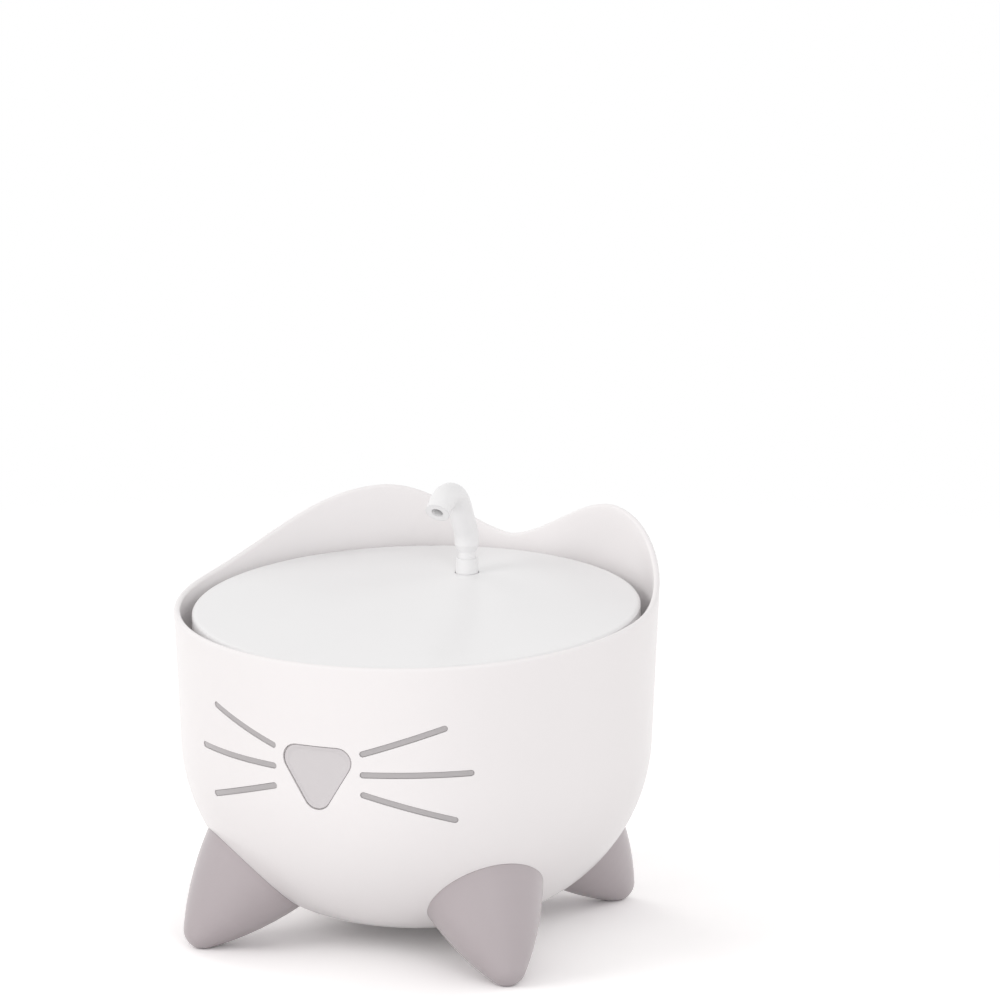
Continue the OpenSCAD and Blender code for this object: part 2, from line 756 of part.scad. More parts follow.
module filter_cup() {
    color([0.93, 0.92, 0.88]) difference() {
        union() {
            translate([0, 0, film_z]) linear_extrude(filter_flange_t) difference() {
                filter_square();
                translate([0, well_y]) circle(filter_hole_r, $fn = round_fn);
            }
            translate([0, 0, film_z - pod_depth]) linear_extrude(pod_depth + eps) pod_outline(0);
        }
        translate([0, 0, film_z - pod_depth + cup_wall]) linear_extrude(pod_depth + 1) pod_outline(cup_wall);
    }
}

module filter_film() {
    color([0.86, 0.87, 0.83]) translate([0, 0, film_z + filter_flange_t]) linear_extrude(film_t)
        difference() {
            filter_square();
            translate([0, well_y]) circle(filter_hole_r, $fn = round_fn);
        }
}

module media(sx, sy) {
    translate([0, 0, film_z - pod_depth + cup_wall])
        linear_extrude(pod_depth - cup_wall + filter_flange_t) one_pod(sx, sy);
}

module carbon_front() { color([0.38, 0.40, 0.40]) media(-1, -1); }
module carbon_rear() { color([0.38, 0.40, 0.40]) media(-1, 1); }
module resin_front() { color([0.87, 0.66, 0.50]) media(1, -1); }
module resin_rear() { color([0.87, 0.66, 0.50]) media(1, 1); }

// ---------------------------------------------------------------- lid

module lid() {
    slot_x = lid_r * sin(slot_half_angle);
    color(white) translate([0, 0, lid_z]) difference() {
        intersection() {
            cylinder(far, r = lid_r, $fn = big_fn);
            translate([0, 0, lid_top]) sloped_block(lid_r + 0.3, lid_slope, lid_round);
        }
        intersection() {
            translate([0, 0, -1]) cylinder(far, r = lid_r - lid_skirt_t, $fn = big_fn);
            translate([0, 0, lid_top - lid_t]) under_slope(lid_slope);
        }
        translate([0, spout_y, -1]) cylinder(far, r = collar_r + lid_hole_gap, $fn = round_fn);
        translate([-slot_x, -lid_r - 1, -1]) cube([2 * slot_x, lid_r / 2, slot_h + 1]);
    }
}

// ---------------------------------------------------------------- spout

module at_spout() {
    translate([0, spout_y, collar_z]) children();
}

module spout_collar() {
    color(white) at_spout() difference() {
        cylinder(collar_h, r = collar_r, $fn = round_fn);
        translate([0, 0, -1]) cylinder(collar_socket_h + 1, r = collar_bore_r, $fn = round_fn);
        cylinder(collar_h + 1, r = neck_r + run_gap, $fn = round_fn);
    }
}

// The spout's path lies in the plane x = 0 and leans forward by its heading angle
pipe_start = collar_h + neck_h + flare_h;
lower_bend_at = [-lower_bend_r, pipe_start];
straight_at = lower_bend_at + lower_bend_r * [cos(spout_lean), sin(spout_lean)];
upper_from = straight_at + spout_straight * [-sin(spout_lean), cos(spout_lean)];
upper_bend_at = upper_from - upper_bend_r * [cos(spout_lean), sin(spout_lean)];
end_at = upper_bend_at + upper_bend_r * [cos(spout_end_angle), sin(spout_end_angle)];

module bend(at, bend_r, from, to, r) {
    translate([0, at[0], at[1]]) rotate([90, 0, 90]) rotate([0, 0, from])
        rotate_extrude(angle = to - from, $fn = pipe_fn) translate([bend_r, 0]) circle(r, $fn = pipe_fn);
}

// A straight stretch laps a little way into the bend before it, a hair thinner
module straight(at, angle, len, r) {
    translate([0, at[0], at[1]]) rotate([angle, 0, 0]) translate([0, 0, -lap])
        cylinder(len + lap, r = r - lap_step, $fn = pipe_fn);
}

module spout_path(r, over) {
    bend(lower_bend_at, lower_bend_r, 0, spout_lean, r);
    straight(straight_at, spout_lean, spout_straight + lap, r);
    bend(upper_bend_at, upper_bend_r, spout_lean, spout_end_angle, r);
    straight(end_at, spout_end_angle, spout_end_len + over, r);
}

module spout_pipe() {
    neck_z = collar_socket_h + seat_gap;
    color(white) at_spout() difference() {
        union() {
            translate([0, 0, neck_z]) cylinder(pipe_start - flare_h - neck_z, r = neck_r, $fn = round_fn);
            translate([0, 0, pipe_start - flare_h])
                cylinder(flare_h, neck_r, pipe_r - lap_step, $fn = round_fn);
            translate([0, 0, pipe_start]) cylinder(lap, r = pipe_r - lap_step, $fn = round_fn);
            spout_path(pipe_r, 0);
        }
        cylinder(pipe_start + lap, r = pipe_bore_r - lap_step, $fn = round_fn);
        spout_path(pipe_bore_r, 1);
    }
}

// ---------------------------------------------------------------- tube

module tube() {
    color([0.93, 0.90, 0.84]) translate([0, spout_y, tube_z]) difference() {
        cylinder(tube_len, r = tube_r, $fn = round_fn);
        translate([0, 0, -1]) cylinder(tube_len + 2, r = outlet_r + push_gap, $fn = round_fn);
    }
}

// ---------------------------------------------------------------- pump

module at_pump() {
    translate([pump_at[0], pump_at[1], pump_z]) rotate([0, 0, pump_turn]) children();
}

// The pump's rounded box, shrunk evenly by inset
module pump_box(inset) {
    l = pump_len - 2 * inset;
    w = pump_w - 2 * inset;
    h = pump_h - 2 * inset;
    r = max(pump_round - inset, 0.8);
    translate([0, 0, inset + h / 2]) intersection() {
        linear_extrude(h, center = true) rounded_rect(l, w, r);
        rotate([90, 0, 0]) linear_extrude(w, center = true) rounded_rect(l, h, r);
        rotate([90, 0, 90]) linear_extrude(l, center = true) rounded_rect(w, h, r);
    }
}

module slab(from, to) {
    translate([from, -far / 2, -far / 2]) cube([to - from, far, far]);
}

// A cylinder along the pump's length, at the height of the shaft
module rod(from, to, r) {
    translate([from, 0, shaft_z]) rotate([0, 90, 0]) cylinder(to - from, r = r, $fn = round_fn);
}

module at_outlet() {
    translate([outlet_x, -outlet_aside, 0]) children();
}

module pump_housing() {
    color(pump_grey) at_pump() difference() {
        union() {
            difference() {
                intersection() {
                    pump_box(0);
                    slab(housing_x, split_x);
                }
                intersection() {
                    pump_box(pump_wall);
                    slab(housing_x - 1, chamber_x - pump_wall);
                }
            }
            rod(rotor_well_x - rotor_well_wall, chamber_x - pump_wall / 2, rotor_well_r + rotor_well_wall);
            at_outlet() translate([0, 0, pump_h - pump_wall]) {
                cylinder(pump_wall + outlet_h - 1.2, r = outlet_r, $fn = round_fn);
                translate([0, 0, pump_wall + outlet_h - 1.2])
                    cylinder(1.2, outlet_r, outlet_r - 0.9, $fn = round_fn);
            }
        }
        rod(chamber_x, split_x + 1, chamber_r);
        rod(rotor_well_x, chamber_x + 1, rotor_well_r);
        difference() {
            rod(split_x - 0.6, split_x + 1, chamber_r + 1.8);
            rod(split_x - 1, split_x + 2, chamber_r + 0.2);
        }
        at_outlet() translate([0, 0, shaft_z]) cylinder(far, r = outlet_bore_r, $fn = round_fn);
        translate([2, 3.5, pump_h - 0.8]) linear_extrude(2) rounded_rect(12, 9, 2);
    }
}

module end_plate() {
    color(pump_grey) at_pump() difference() {
        intersection() {
            pump_box(0);
            slab(plate_x, housing_x);
        }
        translate([plate_x - 1, light_at[0], light_at[1]]) rotate([0, 90, 0])
            cylinder(end_plate_t + 2, r = led_r + run_gap, $fn = round_fn);
        translate([plate_x - 1, gland_at[0], gland_at[1]]) rotate([0, 90, 0])
            cylinder(end_plate_t + 2, r = gland_r + run_gap, $fn = round_fn);
        translate([plate_x - 1, gland_at[0], gland_at[1]]) rotate([90, 0, 90])
            linear_extrude(1 + plate_recess) rounded_rect(17, 8.6, 1.5);
    }
}

module intake_cover() {
    color(pump_grey) at_pump() {
        difference() {
            union() {
                intersection() {
                    pump_box(0);
                    slab(split_x, pump_len / 2);
                }
                rod(split_x - 2, split_x + 1, chamber_r - 0.1);
            }
            intersection() {
                pump_box(pump_wall);
                slab(split_x + divider_t, pump_len / 2);
            }
            rod(split_x - 3, split_x, chamber_r - 1.5);
            rod(split_x - 1, split_x + divider_t + 1, 4.4);
            for (i = [-2 : 2]) translate([pump_len / 2 - pump_wall - 1, i * 2 * intake_slot_w, pump_h / 2])
                rotate([90, 0, 90]) linear_extrude(pump_wall + 2)
                    rotate(90) slot_shape(pump_h - 12, intake_slot_w);
        }
        difference() {
            union() {
                rod(split_x, split_x + divider_t, 2.6);
                for (a = [0, 120, 240]) translate([split_x, 0, shaft_z]) rotate([a, 0, 0])
                    translate([0, -0.6, 0]) cube([divider_t, 1.2, 5]);
            }
            rod(split_x - 1, split_x + divider_t + 1, 1.8 + run_gap / 2);
        }
    }
}

module cover_gasket() {
    color([0.25, 0.25, 0.26]) at_pump() difference() {
        rod(split_x - 0.58, split_x - 0.02, chamber_r + 1.75);
        rod(split_x - 1, split_x + 1, chamber_r + 0.25);
    }
}

module intake_foam() {
    color([0.28, 0.30, 0.32]) at_pump() intersection() {
        pump_box(pump_wall + 0.2);
        slab(split_x + divider_t + 0.1, pump_len / 2);
    }
}

// Laminated iron: two arms round the rotor's well, and a limb through the coil
module stator_core() {
    inner = rotor_well_r + rotor_well_wall + 0.1;
    half_h = inner + 2;
    arm_y = pump_w / 2 - pump_wall - 2.6;
    window_x = core_x + limb_t;
    color([0.55, 0.56, 0.58]) at_pump() difference() {
        intersection() {
            pump_box(pump_wall + 0.2);
            slab(core_x, chamber_x - pump_wall - 0.3);
            translate([-far, -far, shaft_z - half_h]) cube([2 * far, 2 * far, 2 * half_h]);
        }
        rod(core_x - 1, chamber_x, inner);
        translate([window_x, -arm_y, 0]) cube([rotor_well_x - 2 - window_x, 2 * arm_y, pump_h]);
        for (z = [limb_h / 2, -limb_h / 2 - pump_h])
            translate([core_x - 1, -arm_y, shaft_z + z]) cube([limb_t + 1.1, 2 * arm_y, pump_h]);
    }
}

module coil() {
    turn_w = 2.2;
    color([0.72, 0.42, 0.20]) at_pump() translate([core_x + limb_t / 2, 0, shaft_z]) rotate([90, 0, 0])
        difference() {
            linear_extrude(pump_w - 2 * pump_wall - 6.4, center = true)
                rounded_rect(limb_t + 2 * turn_w + 0.2, limb_h + 8, 2);
            linear_extrude(pump_w, center = true) rounded_rect(limb_t + 0.2, limb_h + 0.2, 0.1);
        }
}

module rotor_magnet() {
    color([0.22, 0.22, 0.24]) at_pump() difference() {
        rod(chamber_x + rotor_end_gap - magnet_len, chamber_x + rotor_end_gap, magnet_r);
        rod(plate_x, split_x, shaft_r + run_gap);
    }
}

module impeller() {
    color([0.90, 0.90, 0.88]) at_pump() difference() {
        union() {
            rod(chamber_x + rotor_end_gap, chamber_x + 1.8, vane_r);
            rod(chamber_x + rotor_end_gap, split_x - 2.6, 2.6);
            for (i = [0 : vane_count - 1])
                translate([chamber_x + 1.5, 0, shaft_z]) rotate([i * 360 / vane_count, 0, 0])
                    translate([0, -0.5, 1.5]) cube([chamber_len - 5, 1, vane_r - 2]);
        }
        rod(plate_x, split_x, shaft_r + run_gap);
    }
}

module rotor_shaft() {
    color([0.93, 0.93, 0.90]) at_pump() rod(rotor_well_x + 0.1, split_x + divider_t - 0.1, shaft_r);
}

module bush(from) {
    color([0.20, 0.20, 0.21]) at_pump() difference() {
        rod(from, from + bush_t, 1.8);
        rod(from - 1, from + bush_t + 1, shaft_r + run_gap / 2);
    }
}

module bush_rear() {
    color([0.20, 0.20, 0.21]) at_pump() difference() {
        rod(rotor_well_x, rotor_well_x + bush_t, rotor_well_r - run_gap);
        rod(rotor_well_x - 1, rotor_well_x + bush_t + 1, shaft_r + run_gap / 2);
    }
}

module bush_front() { bush(split_x + 0.3); }

module status_light() {
    color([0.85, 0.10, 0.12]) at_pump() translate([plate_x, light_at[0], light_at[1]]) rotate([0, 90, 0]) {
        cylinder(end_plate_t + 0.4, r = led_r, $fn = round_fn);
        rotate([180, 0, 0]) rotate_extrude($fn = round_fn) intersection() {
            translate([0, -0.7 * led_r]) circle(1.1 * led_r, $fn = round_fn);
            translate([0, -0.2]) square([far, far]);
        }
    }
}

module cord_gland() {
    color([0.45, 0.44, 0.45]) at_pump() translate([plate_x, gland_at[0], gland_at[1]]) rotate([0, 90, 0])
        difference() {
            union() {
                cylinder(end_plate_t + 0.4, r = gland_r, $fn = round_fn);
                translate([0, 0, -gland_out]) linear_extrude(gland_out + plate_recess)
                    rounded_rect(2 * gland_r + 1.4, 2 * gland_r + 1, 1.4);
            }
            translate([0, 0, -gland_out - 1])
                cylinder(gland_out + end_plate_t + 4, r = gland_r - 1.4, $fn = round_fn);
        }
}

module loop_bar(p, q) {
    d = q - p;
    translate([p[0], 0, p[1]]) rotate([0, 90 - atan2(d[1], d[0]), 0])
        cylinder(norm(d), r = loop_bar_r, $fn = 48);
}

module half_loop(side) {
    tip_z = pump_h - pump_round - loop_h / 2;
    color(pump_grey) at_pump() translate([plate_x, loop_y, 0]) intersection() {
        union() {
            loop_bar([0, tip_z + side * loop_h / 2], [-loop_len, tip_z]);
            translate([-loop_len, 0, tip_z]) sphere(loop_bar_r + 0.3, $fn = 48);
        }
        slab(-far / 2, 0);
        translate([-far / 2, -far / 2, tip_z + (side - 1) * far / 2]) cube(far);
    }
}

module pull_loop_upper() { half_loop(1); }
module pull_loop_lower() { half_loop(-1); }

module suction_cups() {
    color([0.85, 0.84, 0.83]) at_pump() for (sx = [-1, 1], sy = [-1, 1])
        translate([sx * (pump_len / 2 - cup_r - 1), sy * (pump_w / 2 - cup_r - 1), -cup_h])
            rotate_extrude($fn = round_fn) polygon([
                [0, 0.6], [cup_r - 1, 0], [cup_r, 0], [cup_r, 0.5],
                [2, cup_h - 0.8], [2, cup_h], [0, cup_h]]);
}

reservoir();
tray_ledge();
ledge_ribs();
pump_seat();
foot_front_left();
foot_front_right();
foot_rear_left();
foot_rear_right();
nose_window();
whisker_left_upper();
whisker_left_middle();
whisker_left_lower();
whisker_right_upper();
whisker_right_middle();
whisker_right_lower();
tray();
flow_cap();
cap_ring();
filter_cup();
filter_film();
carbon_front();
carbon_rear();
resin_front();
resin_rear();
lid();
spout_collar();
spout_pipe();
tube();
pump_housing();
end_plate();
intake_cover();
cover_gasket();
intake_foam();
stator_core();
coil();
rotor_magnet();
impeller();
rotor_shaft();
bush_rear();
bush_front();
status_light();
cord_gland();
pull_loop_upper();
pull_loop_lower();
suction_cups();
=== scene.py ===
import math
import bmesh
import bpy
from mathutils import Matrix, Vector


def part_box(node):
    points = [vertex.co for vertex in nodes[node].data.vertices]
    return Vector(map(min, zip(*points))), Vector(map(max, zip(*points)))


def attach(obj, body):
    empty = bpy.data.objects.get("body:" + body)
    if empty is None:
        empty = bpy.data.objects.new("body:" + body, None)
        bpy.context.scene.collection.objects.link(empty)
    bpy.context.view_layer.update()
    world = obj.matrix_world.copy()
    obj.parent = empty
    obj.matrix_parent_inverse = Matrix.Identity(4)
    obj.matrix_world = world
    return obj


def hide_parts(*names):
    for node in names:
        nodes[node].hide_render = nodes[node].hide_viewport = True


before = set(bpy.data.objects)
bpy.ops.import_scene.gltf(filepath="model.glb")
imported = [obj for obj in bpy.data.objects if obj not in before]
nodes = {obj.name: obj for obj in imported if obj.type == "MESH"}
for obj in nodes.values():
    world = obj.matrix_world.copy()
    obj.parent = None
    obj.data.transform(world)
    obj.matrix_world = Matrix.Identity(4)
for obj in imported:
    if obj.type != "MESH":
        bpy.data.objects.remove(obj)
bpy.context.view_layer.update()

MM = 0.001


# ------------------------------------------------------------------ camera

VIEW_TURN, VIEW_PITCH = math.radians(24.3), math.radians(14.5)
VIEW_FAR, SENSOR = 3.0, 36.0
PICTURE_PX, FOCAL_PX = 1000, 6243.0
AIM = Vector((0, 0, 0.080))     # a point on the bowl's axis
AIM_PX = (416.0, 764.5)         # and its place in the photograph


def add_camera():
    back = Vector((math.sin(VIEW_TURN) * math.cos(VIEW_PITCH),
                   -math.cos(VIEW_TURN) * math.cos(VIEW_PITCH), math.sin(VIEW_PITCH)))
    right = Vector((math.cos(VIEW_TURN), math.sin(VIEW_TURN), 0))
    up = back.cross(right)
    middle = PICTURE_PX / 2
    look = -back + right * ((middle - AIM_PX[0]) / FOCAL_PX) + up * ((AIM_PX[1] - middle) / FOCAL_PX)
    data = bpy.data.cameras.new("camera")
    data.sensor_width = SENSOR
    data.lens = SENSOR * FOCAL_PX / PICTURE_PX * look.length
    data.clip_start, data.clip_end = 0.1, 30
    cam = bpy.data.objects.new("camera", data)
    bpy.context.collection.objects.link(cam)
    cam.location = AIM + back * VIEW_FAR
    cam.rotation_mode = "QUATERNION"
    cam.rotation_quaternion = look.to_track_quat("-Z", "Y")
    bpy.context.scene.camera = cam


# ------------------------------------------------------------------ node materials

class Graph:
    """A material's node tree, with short calls for the nodes used here."""

    def __init__(self, name):
        self.mat = bpy.data.materials.new(name)
        self.mat.use_nodes = True
        self.tree = self.mat.node_tree
        self.tree.nodes.clear()
        self.out = self.tree.nodes.new("ShaderNodeOutputMaterial")
        self.coord = self.tree.nodes.new("ShaderNodeTexCoord").outputs["Object"]

    def put(self, socket, value):
        """Link or set one input; None leaves it as it is."""
        if isinstance(value, bpy.types.NodeSocket):
            self.tree.links.new(value, socket)
        elif value is not None:
            socket.default_value = value

    def node(self, kind, inputs=(), **props):
        n = self.tree.nodes.new(kind)
        for k, v in props.items():
            setattr(n, k, v)
        for k, v in dict(inputs).items():
            self.put(n.inputs[k], v)
        return n

    def scaled(self, x, y, z):
        inputs = {"Vector": self.coord, "Scale": (x, y, z)}
        return self.node("ShaderNodeMapping", inputs).outputs["Vector"]

    def noise(self, scale, detail=3.0, rough=0.5, vector=None):
        where = vector or self.coord
        inputs = {"Vector": where, "Scale": scale, "Detail": detail, "Roughness": rough}
        return self.node("ShaderNodeTexNoise", inputs).outputs["Fac"]

    def cells(self, scale):
        """Voronoi cells: the distance from a cell's middle, and each cell's own shade."""
        n = self.node("ShaderNodeTexVoronoi", {"Vector": self.coord, "Scale": scale})
        own = self.node("ShaderNodeSeparateColor", {0: n.outputs["Color"]}).outputs[0]
        return n.outputs["Distance"], own

    def math(self, op, a, b=None):
        return self.node("ShaderNodeMath", {0: a, 1: b}, operation=op).outputs[0]

    def span(self, value, lo, hi, to_lo, to_hi):
        inputs = {0: value, 1: lo, 2: hi, 3: to_lo, 4: to_hi}
        return self.node("ShaderNodeMapRange", inputs).outputs[0]

    def mix(self, fac, a, b):
        a, b = ((*c, 1) if isinstance(c, tuple) else c for c in (a, b))
        return self.node("ShaderNodeMix", {0: fac, 6: a, 7: b}, data_type="RGBA").outputs[2]

    def blotched(self, noise, a, b):
        """Two colours mixed by a noise."""
        return self.mix(self.span(noise, 0.3, 0.7, 0, 1), a, b)

    def xyz(self):
        return self.node("ShaderNodeSeparateXYZ", {0: self.coord}).outputs[:]

    def bump(self, height, distance, normal=None):
        inputs = {"Height": height, "Distance": distance, "Strength": 1.0, "Normal": normal}
        return self.node("ShaderNodeBump", inputs).outputs["Normal"]

    def bsdf(self, through=0.0, **inputs):
        """The finished material; through is its share of light that shines through from behind."""
        n = self.tree.nodes.new("ShaderNodeBsdfPrincipled")
        for k, v in inputs.items():
            colour = isinstance(v, tuple) and len(v) == 3 and "Color" in k
            self.put(n.inputs[k.replace("_", " ")], (*v, 1) if colour else v)
        top = n.outputs[0]
        if through:
            veil = self.node("ShaderNodeBsdfTranslucent", {"Color": inputs["Base_Color"]}).outputs[0]
            top = self.node("ShaderNodeMixShader", {0: through, 1: top, 2: veil}).outputs[0]
        self.tree.links.new(top, self.out.inputs[0])
        return self.mat


def darker(colour, share):
    """A colour with a share of its strength taken away."""
    return tuple(c * (1 - share) for c in colour)


def moulded(name, colour, rough=0.32, grain=0.00001, tint=0.03, edge=0.0006, **extra):
    """Injection-moulded plastic: faint flow marks, a fine spark-eroded grain and softened edges."""
    g = Graph(name)
    flow = g.noise(9.0, 4.0, 0.55, g.scaled(1, 1, 0.35))
    dust = g.noise(160.0, 2.0)
    col = g.blotched(flow, darker(colour, tint), colour)
    rgh = g.math("ADD", g.span(dust, 0.2, 0.8, rough - 0.008, rough + 0.012),
                 g.span(flow, 0.2, 0.8, -0.015, 0.015))
    soft = g.node("ShaderNodeBevel", {"Radius": edge}, samples=4).outputs["Normal"] if edge else None
    nrm = g.bump(g.noise(2200.0, 2.0, 0.6), grain, soft)
    return g.bsdf(Base_Color=col, Roughness=rgh, Normal=nrm, **extra)


def granular(name, colour, painted_gap_shade_colour, size, gloss):
    """Loose grains: each has its own tone and a round bump, and painted shade darkens the gaps
    between them.
    """
    g = Graph(name)
    off, own = g.cells(1 / size)
    # Painted shade: the colour darkens towards each grain's edge, into the gaps between the grains
    painted_gap_shade = g.span(off, 0.3, 0.62, 0, 1)
    col = g.mix(painted_gap_shade, g.mix(own, colour, darker(colour, 0.2)), painted_gap_shade_colour)
    nrm = g.bump(g.span(off, 0, 0.6, 1, 0), size * 0.5)
    return g.bsdf(Base_Color=col, Roughness=g.span(own, 0, 1, gloss, gloss + 0.15), Normal=nrm)


# The filter in metres: the film's middle and half its side, the flange's underside and the pods'

film_lo, film_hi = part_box("filter_film")
film_y, film_half = (film_lo[1] + film_hi[1]) / 2, (film_hi[0] - film_lo[0]) / 2
flange_z, pod_z = film_lo[2] - 0.0008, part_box("filter_cup")[0][2]


def pod_media(name, plastic, rough, show=0.85):
    """Clear plastic with the loose grains behind it: dark on the left, beige on the right."""
    g = Graph(name)
    x, _, z = g.xyz()
    _, own = g.cells(750.0)
    dark = g.mix(own, (0.20, 0.215, 0.21), (0.37, 0.385, 0.38))
    warm = g.mix(own, (0.60, 0.42, 0.31), (0.77, 0.62, 0.50))
    grains = g.mix(g.span(x, -0.0004, 0.0004, 0, 1), dark, warm)
    inside = g.span(z, pod_z + 0.0005, pod_z + 0.0025, 0.55, 1.0)
    under = g.math("MULTIPLY", g.span(z, flange_z - 0.0012, flange_z - 0.0002, 1, 0), inside)
    flow = g.noise(40.0, 3.0)
    base = g.blotched(flow, plastic, darker(plastic, 0.05))
    col = g.mix(g.math("MULTIPLY", under, show), base, grains)
    nrm = g.bump(g.noise(1500.0, 2.0), 0.00004)
    rgh = g.span(flow, 0.2, 0.8, rough - 0.03, rough + 0.05)
    return g.bsdf(Base_Color=col, Roughness=rgh, Normal=nrm, Coat_Weight=0.4, Coat_Roughness=0.15)


def fabric_film(name):
    """Thin non-woven film, tinted by the grains below it, paler where it is welded down, and all of
    it set lighter as painted light against the lid's shadow.
    """
    g = Graph(name)
    x, y, _ = g.xyz()
    sides = []
    for across, middle in ((x, 0.0), (y, film_y)):
        off = g.math("ABSOLUTE", g.math("SUBTRACT", across, middle))
        margin = g.span(off, film_half - 0.0050, film_half - 0.0036, 1, 0)
        sides.append(g.math("MULTIPLY", g.span(off, 0.0012, 0.0026, 0, 1), margin))
    dy = g.math("SUBTRACT", y, film_y)
    away = g.math("SQRT", g.math("ADD", g.math("MULTIPLY", x, x), g.math("MULTIPLY", dy, dy)))
    beside_hole = g.span(away, 0.0118, 0.0132, 0, 1)
    pods = g.math("MULTIPLY", g.math("MULTIPLY", *sides), beside_hole)
    _, speck = g.cells(600.0)
    cloud = g.noise(70.0, 4.0, 0.6)
    # Partly painted light: the film's own tint over the grains, set lighter to make up for the shadow
    # the lid casts on it
    dark = g.mix(speck, (0.76, 0.80, 0.79), (0.84, 0.875, 0.865))
    warm = g.mix(speck, (0.90, 0.80, 0.70), (0.95, 0.88, 0.80))
    below = g.mix(g.span(x, -0.001, 0.001, 0, 1), dark, warm)
    weld = g.mix(g.span(x, -0.002, 0.002, 0, 1), (0.87, 0.895, 0.885), (0.94, 0.91, 0.875))
    col = g.mix(g.math("MULTIPLY", pods, g.span(cloud, 0.3, 0.7, 0.7, 1.0)), weld, below)
    fibre = g.noise(900.0, 4.0, 0.7, g.scaled(1.0, 0.25, 1.0))
    nrm = g.bump(g.math("ADD", g.math("MULTIPLY", fibre, 0.35), pods), 0.00022)
    rgh = g.span(fibre, 0.3, 0.7, 0.42, 0.6)
    return g.bsdf(Base_Color=col, Roughness=rgh, Normal=nrm, Sheen_Weight=0.2)


mats = {
    "bowl": moulded("bowl", (0.900, 0.873, 0.875), tint=0.012, edge=0.0,
                    Coat_Weight=0.25, Coat_Roughness=0.1),
    "shell": moulded("shell", (0.872, 0.868, 0.872), tint=0.012,
                     Coat_Weight=0.15, Coat_Roughness=0.12),
    "foot": moulded("foot", (0.475, 0.425, 0.44), 0.34, tint=0.06,
                    Coat_Weight=0.35, Coat_Roughness=0.22),
    "nose": moulded("nose", (0.66, 0.63, 0.64), 0.22, tint=0.05,
                    Coat_Weight=0.4, Coat_Roughness=0.1),
    "whisker": moulded("whisker", (0.46, 0.44, 0.445), tint=0.06,
                       Coat_Weight=0.4, Coat_Roughness=0.15),
    "pump": moulded("pump", (0.80, 0.745, 0.745), 0.40, 0.00002, edge=0.0008),
    "rubber": moulded("rubber", (0.03, 0.03, 0.033), 0.6, 0.00002, tint=0.1, edge=0.0002),
    "loop": moulded("loop", (0.66, 0.61, 0.61), 0.45, tint=0.04, edge=0.0),
    "gland": moulded("gland", (0.46, 0.43, 0.435), 0.5, tint=0.08, edge=0.0003),
    "cups": moulded("cups", (0.86, 0.845, 0.84), 0.33, edge=0.0003),
    "tube": moulded("tube", (0.99, 0.98, 0.962), 0.22, tint=0.02, edge=0.0,
                    through=0.25, Transmission_Weight=0.75, IOR=1.12),
    "cup": pod_media("cup", (0.86, 0.87, 0.85), 0.34),
    "film": fabric_film("film"),
    # The second colour of each granular material here (carbon, resin, foam) is painted shade in the
    # gaps between its grains
    "carbon": granular("carbon", (0.10, 0.11, 0.11), (0.02, 0.02, 0.02), 0.0014, 0.45),
    "resin": granular("resin", (0.72, 0.47, 0.28), (0.35, 0.18, 0.09), 0.0010, 0.3),
    "iron": moulded("iron", (0.30, 0.31, 0.33), 0.4, 0.00005, tint=0.1, edge=0.0002, Metallic=1.0),
    "copper": moulded("copper", (0.62, 0.26, 0.10), 0.35, tint=0.1, edge=0.0002, Metallic=1.0),
    "magnet": moulded("magnet", (0.05, 0.05, 0.055), 0.5, tint=0.1, edge=0.0002),
    "impeller": moulded("impeller", (0.80, 0.79, 0.76), 0.4, edge=0.0002),
    "shaft": moulded("shaft", (0.85, 0.85, 0.80), 0.15, tint=0.02, edge=0.0),
    "foam": granular("foam", (0.05, 0.055, 0.06), (0.01, 0.01, 0.01), 0.0008, 0.8),
    "light": moulded("light", (0.72, 0.03, 0.05), 0.12, tint=0.1, edge=0.0,
                     Emission_Color=(1.0, 0.05, 0.05), Emission_Strength=0.12),
}

looks = {
    "bowl": ["reservoir", "tray_ledge", "ledge_ribs", "pump_seat"],
    "shell": ["tray", "flow_cap", "cap_ring", "lid", "spout_collar", "spout_pipe"],
    "foot": ["foot_front_left", "foot_front_right", "foot_rear_left", "foot_rear_right"],
    "nose": ["nose_window"],
    "whisker": ["whisker_left_upper", "whisker_left_middle", "whisker_left_lower",
                "whisker_right_upper", "whisker_right_middle", "whisker_right_lower"],
    "pump": ["pump_housing", "end_plate", "intake_cover"],
    "rubber": ["cover_gasket", "bush_rear", "bush_front"],
    "loop": ["pull_loop_upper", "pull_loop_lower"],
    "gland": ["cord_gland"],
    "cups": ["suction_cups"],
    "tube": ["tube"],
    "cup": ["filter_cup"],
    "film": ["filter_film"],
    "carbon": ["carbon_front", "carbon_rear"],
    "resin": ["resin_front", "resin_rear"],
    "iron": ["stator_core"],
    "copper": ["coil"],
    "magnet": ["rotor_magnet"],
    "impeller": ["impeller"],
    "shaft": ["rotor_shaft"],
    "foam": ["intake_foam"],
    "light": ["status_light"],
}
for look, names in looks.items():
    for n in names:
        materials = nodes[n].data.materials
        materials.clear()
        materials.append(mats[look])


# ------------------------------------------------------------------ helpers for the pieces

def shade(ob, sharp):
    """Smooth faces, with the edges over the angle sharp, in degrees, left sharp."""
    ob.data.polygons.foreach_set("use_smooth", [True] * len(ob.data.polygons))
    ob.data.set_sharp_from_angle(angle=math.radians(sharp))


def stand_for(ob, body, *cad_nodes):
    """Ties a piece to its body and the CAD nodes that it takes the place of."""
    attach(ob, body)
    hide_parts(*cad_nodes)


